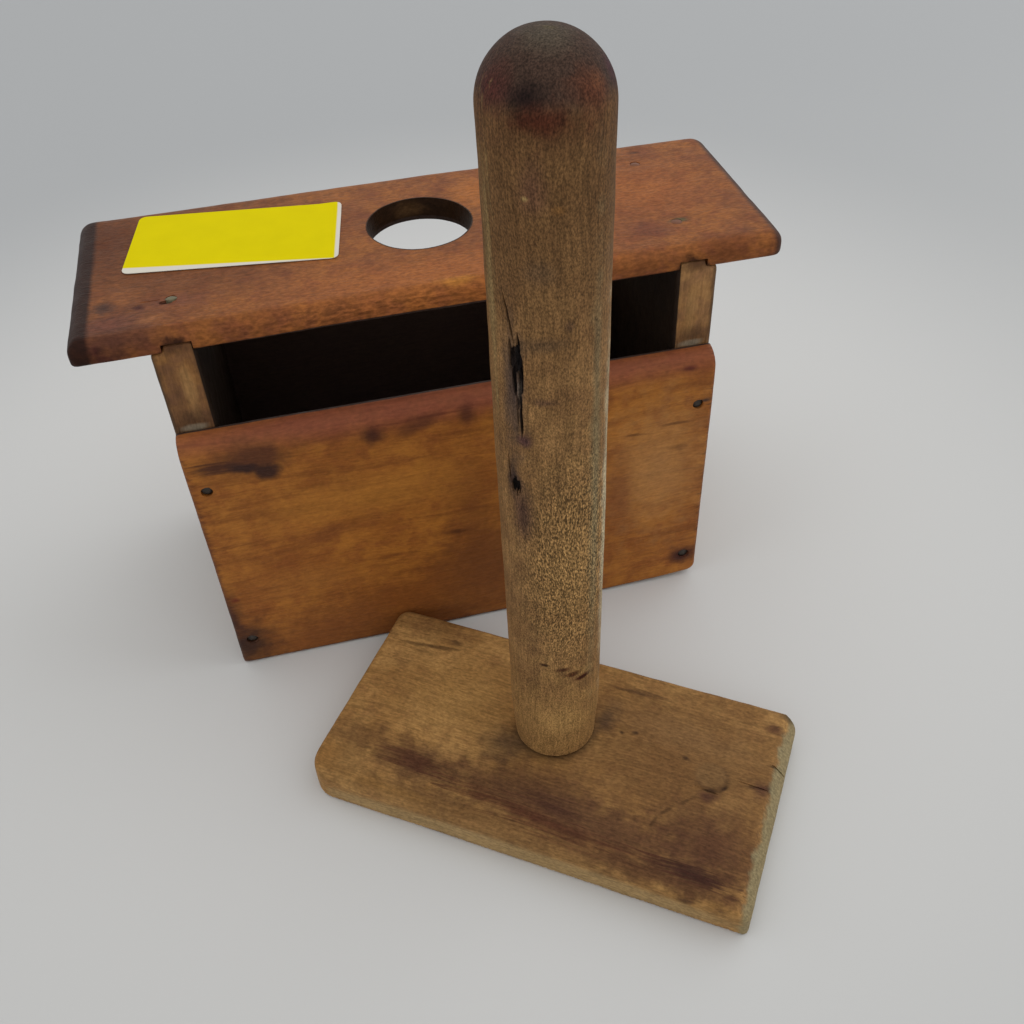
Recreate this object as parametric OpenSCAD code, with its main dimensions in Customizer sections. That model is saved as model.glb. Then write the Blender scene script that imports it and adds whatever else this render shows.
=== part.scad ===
// Box butter press: an open-bottomed wooden mould box and the plunger that pushes the butter out of it.
// Millimetres, +Z up. X runs along the box. The origin is on the table, in the middle of the ground
// that the box and the plunger take up as they stand side by side.

/* [Mould box] */
// Length inside, between the two end boards
inner_l = 121.4; // [90:0.1:200]
// Width inside, which is also the width of the end boards and of the top board
inner_w = 63.5; // [50:0.5:100]
// Thickness of the end boards
end_t = 11; // [9:0.5:20]
// Height of the end boards up to their shoulders, under the top board
end_h = 108; // [95:1:180]
// Thickness of the front and back boards
side_t = 6.3; // [5.5:0.1:10]
// Height of the front and back boards, which leaves a window above them
side_h = 85; // [60:1:92]
// Rounding along the outer top edge of the front and back boards
side_round = 5.2; // [1:0.1:5.4]

/* [Top board] */
// Overhang of the top board past each end board
top_over = 18.3; // [6:0.1:40]
// Thickness of the top board
top_t = 6.4; // [5.6:0.1:12]
// Rounding of the top board's upper edges
top_round = 3.6; // [1:0.1:3.9]
// Rounding of the top board's corners, seen from above
top_corner = 4.2; // [4:0.1:8]
// Thickness of the tongue on top of each end board
tongue_t = 6.9; // [4:0.1:7.5]
// Height of the tongue
tongue_h = 2.4; // [1.5:0.1:3]
// Shoulder beside the tongue, on the inner side of the end board
tongue_in = 0.9; // [0.4:0.1:1.4]
// Air round the tongue in its groove
groove_fit = 0.25; // [0.1:0.05:0.5]
// Guide hole's place behind the middle of the top board
hole_y = 2.2; // [-4:0.1:4]

/* [Nails] */
// Diameter of a nail's shank
nail_d = 1.8; // [1.2:0.1:2.2]
// Diameter of a nail's head
nail_head_d = 2.8; // [2.5:0.1:3.6]
// Height of a nail's head
nail_head_t = 1; // [0.6:0.1:1.5]
// Length of a nail with its head
nail_l = 28; // [18:1:32]
// Length of a nail's point
nail_point = 3; // [2:0.5:4]
// Depth to which the heads are punched in
nail_sink = 0.4; // [0.2:0.1:0.8]
// Air round a nail in its hole
nail_fit = 0.05; // [0.02:0.01:0.1]
// Distance of the front and back nails from the ends of their boards
nail_in = 4.4; // [3:0.1:6]
// Height of the lower nails above the table
nail_low = 10; // [6:0.5:24]
// Distance of the upper nails below the top edge of their boards
nail_below = 16; // [9:0.5:24]
// Distance of the top board's nails from its long middle line
nail_top_y = 17.5; // [12:0.5:20]

/* [Press board] */
// Gap between the press board and each end board
press_gap_l = 1; // [0.5:0.1:3]
// Gap between the press board and the front and back boards
press_gap_w = 1.25; // [0.5:0.05:3]
// Thickness of the press board
press_t = 10; // [8:0.5:16]
// Rounding of the press board's corners, seen from above
press_corner = 4.5; // [3:0.1:8]
// Rounding of the press board's upper edges
press_edge = 2.2; // [0.5:0.1:2.9]

/* [Handle] */
// Largest diameter of the handle, just below its dome
handle_d = 23.8; // [16:0.1:30]
// Diameter of the handle near its foot
handle_low_d = 22.6; // [15:0.1:30]
// Diameter of the handle where it stands on the press board
handle_foot_d = 21; // [15:0.1:30]
// Height of the taper at the foot of the handle
handle_foot_h = 14; // [6:1:30]
// Length of the handle from the press board to the top of its dome
handle_l = 184; // [130:1:260]
// Air between the handle and its guide hole
handle_gap = 2.1; // [0.5:0.1:3]
// Place of the handle on the press board, along the board
handle_x = -1.5; // [-6:0.1:6]
// Place of the handle on the press board, across the board
handle_y = 5.2; // [-6:0.1:6]

/* [Handle screw] */
// Diameter of the screw's shank
screw_d = 4.2; // [3:0.1:6]
// Diameter of the countersunk head
screw_head_d = 8.4; // [7:0.1:11]
// Length of the screw
screw_l = 38; // [26:1:60]
// Length of the screw's point
screw_point = 5; // [3:0.5:8]
// Width of the slot in the head
slot_w = 1.2; // [0.8:0.1:1.6]
// Depth of the slot in the head
slot_h = 1; // [0.5:0.1:1.2]
// Depth of the head below the face of the press board
screw_sink = 0.4; // [0.2:0.1:1]
// Air round the screw in its hole
screw_fit = 0.1; // [0.05:0.05:0.3]

/* [Paper label] */
// Length of the paper label
label_l = 55; // [30:1:57]
// Width of the paper label
label_w = 30; // [15:1:31]
// Thickness of the paper label
label_t = 0.25; // [0.15:0.05:0.4]
// Rounding of the label's corners
label_round = 2; // [1:0.5:4]
// Distance of the label's middle from the left end of the top board
label_from_end = 41.9; // [38:0.1:44]
// Distance of the label's middle from the back edge of the top board
label_from_back = 23.2; // [22.8:0.1:30]
// Turn of the label on the top board, in degrees
label_turn = -8.5; // [-9:0.5:9]

/* [Where the plunger stands] */
// Middle of the press board, along the box, from the middle of the box
stand_x = 9.8; // [-25:0.1:25]
// Gap between the front board and the nearest corner of the press board
stand_gap = 0.9; // [0.5:0.1:60]
// Turn of the plunger, in degrees
stand_turn = -34.5; // [-60:0.5:-10]

/* [Hidden] */
$fn = 64;
// Overlap that lets a cut pass cleanly through a face
cut = 1;
// Lengths and places of the box
box_l = inner_l + 2 * end_t;
box_w = inner_w + 2 * side_t;
top_l = box_l + 2 * top_over;
box_h = end_h + top_t;
tongue_x = inner_l / 2 + tongue_in;
tongue_mid = tongue_x + tongue_t / 2;
nail_x = box_l / 2 - nail_in;
nail_up = side_h - nail_below;
// Sizes of the plunger that follow from the box, and of the hole that follows from the handle
press_l = inner_l - 2 * press_gap_l;
press_w = inner_w - 2 * press_gap_w;
hole_d = handle_d + 2 * handle_gap;
// Half of the ground that the turned press board takes up, across the box
press_reach = (press_l / 2 - press_corner) * abs(sin(stand_turn))
    + (press_w / 2 - press_corner) * cos(stand_turn) + press_corner;
// Middle of the press board, of the box and of all the ground taken, across the box
stand_y = -box_w / 2 - stand_gap - press_reach;
ground_y = (stand_y - press_reach + box_w / 2) / 2;
box_y = -ground_y;
plunger_y = stand_y - ground_y;

// Puts the pieces of the mould box in their place in the part
module in_box() {
    translate([0, box_y, 0]) children();
}

// Puts the pieces of the plunger in their place in the part
module in_plunger() {
    translate([stand_x, plunger_y, 0]) rotate([0, 0, stand_turn]) children();
}

// A shape of the right end of the box for side 1, and its mirror image for side -1
module mirrored(side) {
    if (side < 0) mirror([1, 0, 0]) children();
    else children();
}

// Outline of a board's edge: width w about the Z axis, height t, upper corners rounded by r
module eased_outline(w, t, r) {
    translate([-w / 2, 0]) square([w, t - r]);
    translate([-w / 2 + r, 0]) square([w - 2 * r, t]);
    intersection() {
        for (side = [-1, 1]) translate([side * (w / 2 - r), t - r]) circle(r);
        translate([-w / 2, 0]) square([w, t]);
    }
}

// Board lying flat, with corners rounded by corner seen from above, and upper edges rounded by edge
module eased_board(l, w, t, corner, edge) {
    translate([-l / 2 + corner, 0, 0]) rotate([90, 0, 90])
        linear_extrude(l - 2 * corner) eased_outline(w, t, edge);
    translate([0, w / 2 - corner, 0]) rotate([90, 0, 0])
        linear_extrude(w - 2 * corner) eased_outline(l, t, edge);
    for (x = [-1, 1], y = [-1, 1])
        translate([x * (l / 2 - corner), y * (w / 2 - corner), 0])
            rotate_extrude() intersection() {
                eased_outline(2 * corner, t, edge);
                square([corner, t]);
            }
}

// Nail with its head's face at the origin, pointing down
module nail(gap = 0) {
    translate([0, 0, -nail_head_t - gap]) cylinder(d = nail_head_d + 2 * gap, h = nail_head_t + gap);
    translate([0, 0, -nail_l + nail_point - gap])
        cylinder(d = nail_d + 2 * gap, h = nail_l - nail_point - nail_head_t / 2 + gap);
    translate([0, 0, -nail_l - gap]) cylinder(d1 = 0, d2 = nail_d + 2 * gap, h = nail_point);
}

// Hole for a nail, from the face of its board down, with the mark of the punch above the head
module nail_hole() {
    translate([0, 0, -nail_sink]) nail(nail_fit);
    translate([0, 0, -nail_sink]) cylinder(d = nail_head_d + 2 * nail_fit, h = nail_sink + cut);
}

// Places of the four nails that hold the top board down on the end boards
module at_top_nails() {
    for (x = [-1, 1], y = [-1, 1])
        translate([x * tongue_mid, y * nail_top_y, box_h]) children();
}

// Places of the four nails that hold a front or back board, head first on its outer face
module at_side_nails(side) {
    for (x = [-1, 1], z = [nail_low, nail_up])
        translate([x * nail_x, side * box_w / 2, z]) rotate([-side * 90, 0, 0]) children();
}

// Front board for side -1, back board for side 1: nailed on the edges of the end boards
module side_board(side) {
    difference() {
        translate([-box_l / 2, side * inner_w / 2, 0])
            rotate([90, 0, 90]) linear_extrude(box_l) side_outline(side);
        at_side_nails(side) nail_hole();
    }
}

// Section of a front or back board, with its outer top edge rounded
module side_outline(side) {
    low = side < 0 ? -side_t : 0;
    translate([low, 0]) square([side_t, side_h - side_round]);
    translate([side < 0 ? low + side_round : 0, 0]) square([side_t - side_round, side_h]);
    intersection() {
        translate([side * (side_t - side_round), side_h - side_round]) circle(side_round);
        translate([low, 0]) square([side_t, side_h]);
    }
}

// End board with the tongue on top of it that the top board's groove takes
module end_board(side) {
    difference() {
        mirrored(side) {
            translate([inner_l / 2, -inner_w / 2, 0]) cube([end_t, inner_w, end_h]);
            translate([tongue_x, -inner_w / 2, end_h - cut]) cube([tongue_t, inner_w, tongue_h + cut]);
        }
        at_top_nails() nail_hole();
        at_side_nails(-1) nail_hole();
        at_side_nails(1) nail_hole();
    }
}

// Top board, grooved across its underside at both ends and bored for the handle
module top_board() {
    color("#84513a") in_box() difference() {
        translate([0, 0, end_h]) eased_board(top_l, inner_w, top_t, top_corner, top_round);
        for (side = [-1, 1]) mirrored(side)
            translate([tongue_x - groove_fit, -inner_w / 2 - cut, end_h - cut])
                cube([tongue_t + 2 * groove_fit, inner_w + 2 * cut, tongue_h + groove_fit + cut]);
        translate([0, hole_y, end_h - cut]) cylinder(d = hole_d, h = top_t + 2 * cut);
        at_top_nails() nail_hole();
    }
}

module left_end_board() {
    color("#8a6a42") in_box() end_board(-1);
}

module right_end_board() {
    color("#8a6a42") in_box() end_board(1);
}

module front_board() {
    color("#80552e") in_box() side_board(-1);
}

module back_board() {
    color("#80552e") in_box() side_board(1);
}

module top_board_nails() {
    color("#4a4440") in_box() at_top_nails() translate([0, 0, -nail_sink]) nail();
}

module front_board_nails() {
    color("#4a4440") in_box() at_side_nails(-1) translate([0, 0, -nail_sink]) nail();
}

module back_board_nails() {
    color("#4a4440") in_box() at_side_nails(1) translate([0, 0, -nail_sink]) nail();
}

// Screw with its head's face at the origin, pointing up
module screw_body(gap = 0) {
    head_h = (screw_head_d - screw_d) / 2;
    cylinder(d1 = screw_head_d + 2 * gap, d2 = screw_d + 2 * gap, h = head_h);
    translate([0, 0, head_h / 2]) cylinder(d = screw_d + 2 * gap, h = screw_l - screw_point - head_h / 2);
    translate([0, 0, screw_l - screw_point]) cylinder(d1 = screw_d + 2 * gap, d2 = 0, h = screw_point + gap);
}

// Hole for the screw, open at the underside of the press board
module screw_hole() {
    translate([handle_x, handle_y, screw_sink]) screw_body(screw_fit);
    translate([handle_x, handle_y, -cut])
        cylinder(d = screw_head_d + 2 * screw_fit, h = screw_sink + cut);
}

// Press board, cut to slide in the box
module press_board() {
    color("#7f6238") in_plunger() difference() {
        eased_board(press_l, press_w, press_t, press_corner, press_edge);
        screw_hole();
    }
}

// Turned handle: a foot taper, a long slender taper and a domed end
module handle() {
    dome_r = handle_d / 2;
    color("#725b3b") in_plunger() difference() {
        translate([handle_x, handle_y, press_t]) {
            cylinder(d1 = handle_foot_d, d2 = handle_low_d, h = handle_foot_h);
            translate([0, 0, handle_foot_h])
                cylinder(d1 = handle_low_d, d2 = handle_d, h = handle_l - dome_r - handle_foot_h);
            translate([0, 0, handle_l - dome_r]) sphere(r = dome_r);
        }
        screw_hole();
    }
}

// Slotted wood screw that holds the handle from below
module handle_screw() {
    color("#6d675f") in_plunger() translate([handle_x, handle_y, screw_sink]) difference() {
        screw_body();
        translate([-screw_head_d, -slot_w / 2, -cut]) cube([2 * screw_head_d, slot_w, slot_h + cut]);
    }
}

// Blank paper label stuck on the top board
module price_label() {
    color("#d8cc10") in_box()
        translate([-top_l / 2 + label_from_end, inner_w / 2 - label_from_back, box_h])
            rotate([0, 0, label_turn]) {
                translate([-label_l / 2, -label_w / 2 + label_round, 0])
                    cube([label_l, label_w - 2 * label_round, label_t]);
                translate([-label_l / 2 + label_round, -label_w / 2, 0])
                    cube([label_l - 2 * label_round, label_w, label_t]);
                for (x = [-1, 1], y = [-1, 1])
                    translate([x * (label_l / 2 - label_round), y * (label_w / 2 - label_round), 0])
                        cylinder(r = label_round, h = label_t);
            }
}

top_board();
left_end_board();
right_end_board();
front_board();
back_board();
top_board_nails();
front_board_nails();
back_board_nails();
press_board();
handle();
handle_screw();
price_label();
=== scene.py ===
import math
import random
import bmesh
import bpy
from mathutils import Matrix, Vector


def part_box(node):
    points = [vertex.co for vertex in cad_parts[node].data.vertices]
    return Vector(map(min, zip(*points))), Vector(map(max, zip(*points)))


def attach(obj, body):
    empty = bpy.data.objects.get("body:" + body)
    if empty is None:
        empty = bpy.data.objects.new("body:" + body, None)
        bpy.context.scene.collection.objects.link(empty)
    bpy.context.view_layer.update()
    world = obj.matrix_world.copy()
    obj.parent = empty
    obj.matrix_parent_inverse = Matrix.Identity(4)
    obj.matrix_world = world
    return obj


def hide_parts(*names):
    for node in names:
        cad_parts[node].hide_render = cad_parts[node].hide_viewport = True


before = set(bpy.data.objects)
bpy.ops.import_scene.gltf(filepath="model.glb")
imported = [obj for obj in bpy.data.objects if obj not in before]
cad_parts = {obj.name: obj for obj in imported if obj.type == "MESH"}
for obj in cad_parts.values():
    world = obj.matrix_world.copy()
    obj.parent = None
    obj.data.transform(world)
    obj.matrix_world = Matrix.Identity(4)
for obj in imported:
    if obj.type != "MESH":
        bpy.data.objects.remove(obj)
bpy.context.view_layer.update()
MM = 0.001

# Camera
# It looks down on the press from close in front and a little to the left, tilted a little to one side.
# Its place, its turns and its focal length come from the straight edges of the box and the press board.
CAMERA_AT = Vector((-31.5, -201.96, 253.4)) * MM
CAMERA_TURN = math.radians(-11.376)
CAMERA_DOWN = math.radians(43.14)
CAMERA_ROLL = math.radians(-2.899)
SENSOR = 36
FOCAL_PIXELS = 1076.65
PICTURE_WIDTH = 1024

camera = bpy.data.objects.new("camera", bpy.data.cameras.new("camera"))
bpy.context.scene.collection.objects.link(camera)
camera.data.sensor_width = SENSOR
camera.data.sensor_fit = "HORIZONTAL"
camera.data.lens = FOCAL_PIXELS / PICTURE_WIDTH * SENSOR
camera.data.clip_start = 0.01
camera.matrix_world = (
    Matrix.Translation(CAMERA_AT)
    @ Matrix.Rotation(CAMERA_TURN, 4, "Z")
    @ Matrix.Rotation(math.pi / 2 - CAMERA_DOWN, 4, "X")
    @ Matrix.Rotation(CAMERA_ROLL, 4, "Z")
)
bpy.context.scene.camera = camera

# Floor and light
# A plain pale table that is a little darker further back and painted lighter in a pool round the press,
# an even sky all round, and a wide soft lamp on the right, at the level at which a colour shows about as
# it is written.
FLOOR_SIZE = 8
FLOOR_PAINTED_LIGHT = "cececd"
FLOOR_NEAR = "b6b7b7"
FLOOR_FAR = "a9abad"
# Where the floor starts and ends to get darker along Y, and the pool of painted light under the press, in
# metres
FADE_START = -0.05
FADE_END = 0.45
LIGHT_POOL_AT = Vector((0, 0.07, 0))
LIGHT_POOL_R = 0.34
LIGHT_POOL_CORE = 0.3
SKY_COLOUR = "f1f1f0"
SKY_SEEN = "a6a8aa"
SKY_LEVEL = 1.0
LAMP_AT = Vector((1.3, 0.2, 1.15))
LAMP_AIM = Vector((0, 0, 0.05))
LAMP_WIDTH = 2.0
LAMP_POWER = 7


def hex_colour(code):
    """An sRGB hex value as the linear colour that a socket takes."""
    parts = [int(code[i:i + 2], 16) / 255 for i in (0, 2, 4)]
    linear = [p / 12.92 if p <= 0.04045 else ((p + 0.055) / 1.055) ** 2.4 for p in parts]
    return (*linear, 1)


def add(tree, kind, sockets=None, **settings):
    """Adds a node, sets it, fills its inputs with values or links, and gives back its outputs."""
    made = tree.nodes.new(kind)
    for name, value in settings.items():
        setattr(made, name, value)
    for name, value in (sockets or {}).items():
        if isinstance(value, bpy.types.NodeSocket):
            tree.links.new(value, made.inputs[name])
        else:
            made.inputs[name].default_value = value
    return made.outputs


def empty_material(name):
    """A material with an empty node tree."""
    material = bpy.data.materials.new(name)
    material.use_nodes = True
    material.node_tree.nodes.clear()
    return material, material.node_tree


bpy.ops.object.select_all(action="DESELECT")
bpy.ops.mesh.primitive_plane_add(size=FLOOR_SIZE)
floor = bpy.context.object
floor.name = "floor"
table_top, tree = empty_material("painted table top")
spot_at = add(tree, "ShaderNodeTexCoord")["Object"]
spot = add(tree, "ShaderNodeSeparateXYZ", {0: spot_at})
back = add(tree, "ShaderNodeMapRange", {"Value": spot["Y"], "From Min": FADE_START, "From Max": FADE_END},
           interpolation_type="SMOOTHSTEP")[0]
pale = add(tree, "ShaderNodeMix", {0: back, 6: hex_colour(FLOOR_NEAR), 7: hex_colour(FLOOR_FAR)},
           data_type="RGBA")[2]
# painted light: the floor is made paler in a pool round the press
away = add(tree, "ShaderNodeVectorMath", {0: spot_at, 1: LIGHT_POOL_AT}, operation="DISTANCE")["Value"]
light_pool = add(tree, "ShaderNodeMapRange", {"Value": away, "From Min": LIGHT_POOL_R, "From Max": LIGHT_POOL_CORE * LIGHT_POOL_R},
           interpolation_type="SMOOTHSTEP")[0]
pale = add(tree, "ShaderNodeMix", {0: light_pool, 6: pale, 7: hex_colour(FLOOR_PAINTED_LIGHT)}, data_type="RGBA")[2]
paint = add(tree, "ShaderNodeBsdfPrincipled", {"Base Color": pale, "Roughness": 0.7,
            "Specular IOR Level": 0.2})
add(tree, "ShaderNodeOutputMaterial", {"Surface": paint[0]})
floor.data.materials.append(table_top)

world = bpy.data.worlds.new("sky")
bpy.context.scene.world = world
world.use_nodes = True
tree = world.node_tree
tree.nodes.clear()
rays = add(tree, "ShaderNodeLightPath")
sky = add(tree, "ShaderNodeBackground", {"Color": hex_colour(SKY_COLOUR), "Strength": SKY_LEVEL})
seen = add(tree, "ShaderNodeBackground", {"Color": hex_colour(SKY_SEEN), "Strength": 1})
mixed = add(tree, "ShaderNodeMixShader", {0: rays["Is Camera Ray"], 1: sky[0], 2: seen[0]})
add(tree, "ShaderNodeOutputWorld", {"Surface": mixed[0]})

lamp = bpy.data.objects.new("lamp", bpy.data.lights.new("lamp", "AREA"))
bpy.context.scene.collection.objects.link(lamp)
lamp.data.size = LAMP_WIDTH
lamp.data.energy = LAMP_POWER
lamp.location = LAMP_AT
lamp.rotation_euler = (LAMP_AIM - LAMP_AT).to_track_quat("-Z", "Y").to_euler()
bpy.context.scene.view_settings.view_transform = "Standard"

# End boards
# Two upright boards of plain tan hardwood that close the mould box at its ends and carry the lid on a
# tongue. Sawn, planed and worn, with the grain running up, and dark on their inner faces, partly with use
# and partly with painted shade.
VOXEL = 0.7 * MM
TONGUE_H = 2.4 * MM
TONGUE_IN = 0.9 * MM
TONGUE_T = 6.9 * MM
END_EASE = 0.5 * MM
END_WAVES = ((30 * MM, 0.25 * MM), (5 * MM, 0.12 * MM))
ENDS = ((-1, "left_end_board"), (1, "right_end_board"))
# Each wood has a light, a middle, a hazy and a dark tone. The left and the right end board differ.
END_TAN = {-1: ("8a6036", "735032", "684733", "4e361f"), 1: ("a0774a", "8a633a", "7a563c", "5c4026")}
# The inside of the box is nearly black: partly the dark of long use, partly painted shade.
INSIDE_USE_AND_SHADE = "3a2d28"
END_INSIDE_USE_AND_SHADE = "20160f"
# Widths in mm of what the wood shows across its grain. The finest are a little wider than the real ones,
# so that they show.
CLOUD_W = 20
WISP_W = 6
FRAY_W = 4
BAND_W = 3
FIBRE_W = 0.6
PORE_W = 0.4
# The grain wanders by up to WANDER mm over WANDER_L mm.
WANDER = 8
WANDER_L = 50


def choose(piece):
    """Selects a piece alone and makes it the active one."""
    bpy.ops.object.select_all(action="DESELECT")
    piece.select_set(True)
    bpy.context.view_layer.objects.active = piece


def pick(piece, kind, test):
    """Opens a piece in edit mode with those edges or faces selected whose middle passes the test."""
    choose(piece)
    bpy.ops.object.mode_set(mode="EDIT")
    bpy.ops.mesh.select_mode(type=kind)
    bpy.ops.mesh.select_all(action="DESELECT")
    shape = bmesh.from_edit_mesh(piece.data)
    for part in shape.edges if kind == "EDGE" else shape.faces:
        middle = sum((v.co for v in part.verts), Vector()) / len(part.verts)
        part.select_set(bool(test(middle, part)))
    shape.select_flush_mode()
    bmesh.update_edit_mesh(piece.data)


def ease(piece, width, steps, test):
    """Rounds the edges that pass the test, as a plane or a thumb does over the years."""
    pick(piece, "EDGE", test)
    bpy.ops.mesh.bevel(offset=width, segments=steps, affect="EDGES")
    bpy.ops.object.mode_set(mode="OBJECT")


def sawn_block(name, low, high):
    """A square block of wood between two corners."""
    low, high = Vector(low), Vector(high)
    bpy.ops.object.select_all(action="DESELECT")
    bpy.ops.mesh.primitive_cube_add(size=1, location=(low + high) / 2, scale=high - low)
    bpy.ops.object.transform_apply(location=True, rotation=True, scale=True)
    bpy.context.object.name = name
    return bpy.context.object


def change(piece, kind, **settings):
    """Puts a modifier on a piece, with its settings, and applies it."""
    choose(piece)
    modifier = piece.modifiers.new(kind.lower(), kind)
    for name, value in settings.items():
        setattr(modifier, name, value)
    bpy.ops.object.modifier_apply(modifier=modifier.name)


def roughen(piece, width, height):
    """Pushes a surface in and out by soft waves of a width and a height."""
    clouds = bpy.data.textures.new(f"{piece.name} waves", "CLOUDS")
    clouds.noise_scale = width
    clouds.noise_depth = 1
    change(piece, "DISPLACE", texture=clouds, texture_coords="LOCAL", strength=height, mid_level=0.5)


def wear(piece, voxel, waves):
    """Gives a sharp piece an even mesh, softens it, and makes it uneven by waves of (width, height)."""
    change(piece, "REMESH", mode="VOXEL", voxel_size=voxel)
    change(piece, "SMOOTH", factor=0.5, iterations=2)
    for width, height in waves:
        roughen(piece, width, height)


def stain(colour, strength, place, size, turn=0, soft=0.9, kind="cloudy"):
    """A patch of another colour on a board, by its place and half sizes in mm and its turn in degrees. The
    softer it is, the wider it fades. It is cloudy, streaky along the grain, lined with it, or clean."""
    return colour, strength, place, size, turn, soft, kind


def aged_wood(name, place, turn, tones, stains, upright=False, haze=0.6, band=0.35, fibre=0.1, fleck=0.12,
              grit=0.1, grit_size=0.9, torn=None, rough=(0.45, 0.6), shine=0.15):
    """Old planed wood, dry and worn. The light and the middle tone meet in wide clouds, a hazy tone lies over
    them in small ones, and a dark tone runs in faint bands along the board, with thin fibres, short
    pores and fine grit of a size. The grain runs along the board's own X, or Z where it is upright. torn is
    (strength, place, half sizes) of an area that a blunt tool has torn up. Places are in mm."""
    material, tree = empty_material(name)
    spot = add(tree, "ShaderNodeTexCoord")["Object"]
    board = add(tree, "ShaderNodeMapping", {"Vector": spot, "Location": place, "Rotation": turn,
                "Scale": (MM, MM, MM)}, vector_type="TEXTURE")[0]
    drift = add(tree, "ShaderNodeTexNoise", {"Vector": board, "Scale": 1 / WANDER_L, "Detail": 1.0})["Color"]
    grain = add(tree, "ShaderNodeVectorMath", {0: drift, 1: (WANDER, WANDER, WANDER), 2: board},
                operation="MULTIPLY_ADD")[0]

    def streaks(share, width, detail):
        """Noise of a width in mm, drawn out along the grain to a length of its width divided by the share."""
        stretch = (1, 1, share) if upright else (share, 1, 1)
        drawn = add(tree, "ShaderNodeVectorMath", {0: grain, 1: stretch}, operation="MULTIPLY")[0]
        return add(tree, "ShaderNodeTexNoise", {"Vector": drawn, "Scale": 1 / width, "Detail": detail,
                   "Roughness": 0.6})[0]

    def distance(place, size, turn=0):
        """How far a point is from a place, where 1 is the rim of an egg shape with these half sizes."""
        near = add(tree, "ShaderNodeMapping", {"Vector": board, "Location": place, "Scale": size,
                   "Rotation": (0, 0, math.radians(turn))}, vector_type="TEXTURE")
        return add(tree, "ShaderNodeVectorMath", {0: near[0]}, operation="LENGTH")["Value"]

    def tinted(colour, tint, strength, pattern, start, end):
        """Lays a tint over a colour, up to its strength, as a pattern goes from start to end."""
        share = add(tree, "ShaderNodeMapRange", {"Value": pattern, "From Min": start, "From Max": end,
                    "To Max": strength}, interpolation_type="SMOOTHSTEP")[0]
        return add(tree, "ShaderNodeMix", {0: share, 6: colour, 7: hex_colour(tint)}, data_type="RGBA")[2]

    def shaded(colour, pattern, low, high, start=0.35, end=0.65):
        """Takes a colour from low to high times its brightness as a pattern goes from start to end."""
        factor = add(tree, "ShaderNodeMapRange", {"Value": pattern, "From Min": start, "From Max": end,
                     "To Min": low, "To Max": high})[0]
        return add(tree, "ShaderNodeVectorMath", {0: colour, "Scale": factor}, operation="SCALE")[0]

    clouds = add(tree, "ShaderNodeTexNoise", {"Vector": board, "Scale": 1 / CLOUD_W, "Detail": 7.0,
                 "Roughness": 0.62})[0]
    wisps = add(tree, "ShaderNodeTexNoise", {"Vector": board, "Scale": 1 / WISP_W, "Detail": 5.0,
                "Roughness": 0.62})[0]
    edges = add(tree, "ShaderNodeTexNoise", {"Vector": board, "Scale": 1 / FRAY_W, "Detail": 4.0,
                "Roughness": 0.5})[0]
    bands = streaks(0.05, BAND_W, 4.0)
    fibres = streaks(0.05, FIBRE_W, 3.0)
    pores = streaks(0.33, PORE_W, 2.0)
    specks = streaks(0.55, grit_size, 2.0)
    # Noise lies mostly between 0.3 and 0.7, so each pattern starts and ends within that.
    light, middle, hazy, dark = tones
    colour = tinted(hex_colour(light), middle, 1, clouds, 0.4, 0.6)
    colour = tinted(colour, hazy, haze, wisps, 0.46, 0.66)
    colour = tinted(colour, dark, band, bands, 0.48, 0.7)
    # Each kind of stain has a frayed rim of its own, which draws it in here and lets it reach out there.
    frays = {}
    for kind, pattern, start, end, narrow, wide in (
        ("cloudy", edges, 0.3, 0.7, 1.3, 0.75),
        ("streaky", streaks(0.1, 1.1, 4.0), 0.3, 0.7, 1.9, 0.5),
        ("lined", streaks(0.04, 0.8, 3.0), 0.4, 0.6, 2, 0.75),
    ):
        frays[kind] = add(tree, "ShaderNodeMapRange", {"Value": pattern, "From Min": start, "From Max": end,
                          "To Min": narrow, "To Max": wide})[0]
    for tint, strength, at, size, angle, soft, kind in stains:
        far = distance(at, size, angle)
        if kind in frays:
            far = add(tree, "ShaderNodeMath", {0: far, 1: frays[kind]}, operation="MULTIPLY")[0]
        colour = tinted(colour, tint, strength, far, 1, 1 - soft)
    colour = shaded(colour, fibres, 1 - fibre, 1 + fibre)
    colour = shaded(colour, pores, 1, 1 - fleck, 0.54, 0.7)
    colour = shaded(colour, specks, 1 - grit, 1 + grit)
    height = add(tree, "ShaderNodeMath", {0: fibres, 1: pores}, operation="SUBTRACT")[0]
    if torn:
        # short fibres torn up along the grain, as wide as the grit, light on top and dark beneath
        strength, at, size = torn
        share = add(tree, "ShaderNodeMapRange", {"Value": distance(at, size), "From Min": 1, "From Max": 0.55,
                    "To Max": strength})[0]
        curls = add(tree, "ShaderNodeMapRange", {"Value": streaks(0.35, grit_size, 2.0), "From Min": 0.4,
                    "From Max": 0.6, "To Min": -1})[0]
        curls = add(tree, "ShaderNodeMath", {0: curls, 1: share}, operation="MULTIPLY")[0]
        colour = shaded(colour, curls, 0, 2, -1, 1)
        height = add(tree, "ShaderNodeMath", {0: height, 1: curls}, operation="ADD")[0]
    relief = add(tree, "ShaderNodeBump", {"Height": height, "Strength": 0.5, "Distance": 0.2 * MM})[0]
    gloss = add(tree, "ShaderNodeMapRange", {"Value": wisps, "From Min": 0.3, "From Max": 0.7,
                "To Min": rough[0], "To Max": rough[1]})[0]
    wood = add(tree, "ShaderNodeBsdfPrincipled", {"Base Color": colour, "Roughness": gloss, "Normal": relief,
               "IOR": 1.5, "Specular IOR Level": shine})
    add(tree, "ShaderNodeOutputMaterial", {"Surface": wood[0]})
    return material


def tongue_faces(side, low, high, fit=0):
    """Where the faces of an end board's tongue lie along X, or those of its groove, wider by a fit."""
    inner = low.x if side > 0 else high.x
    return sorted((inner + side * (TONGUE_IN - fit), inner + side * (TONGUE_IN + TONGUE_T + fit)))


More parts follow.
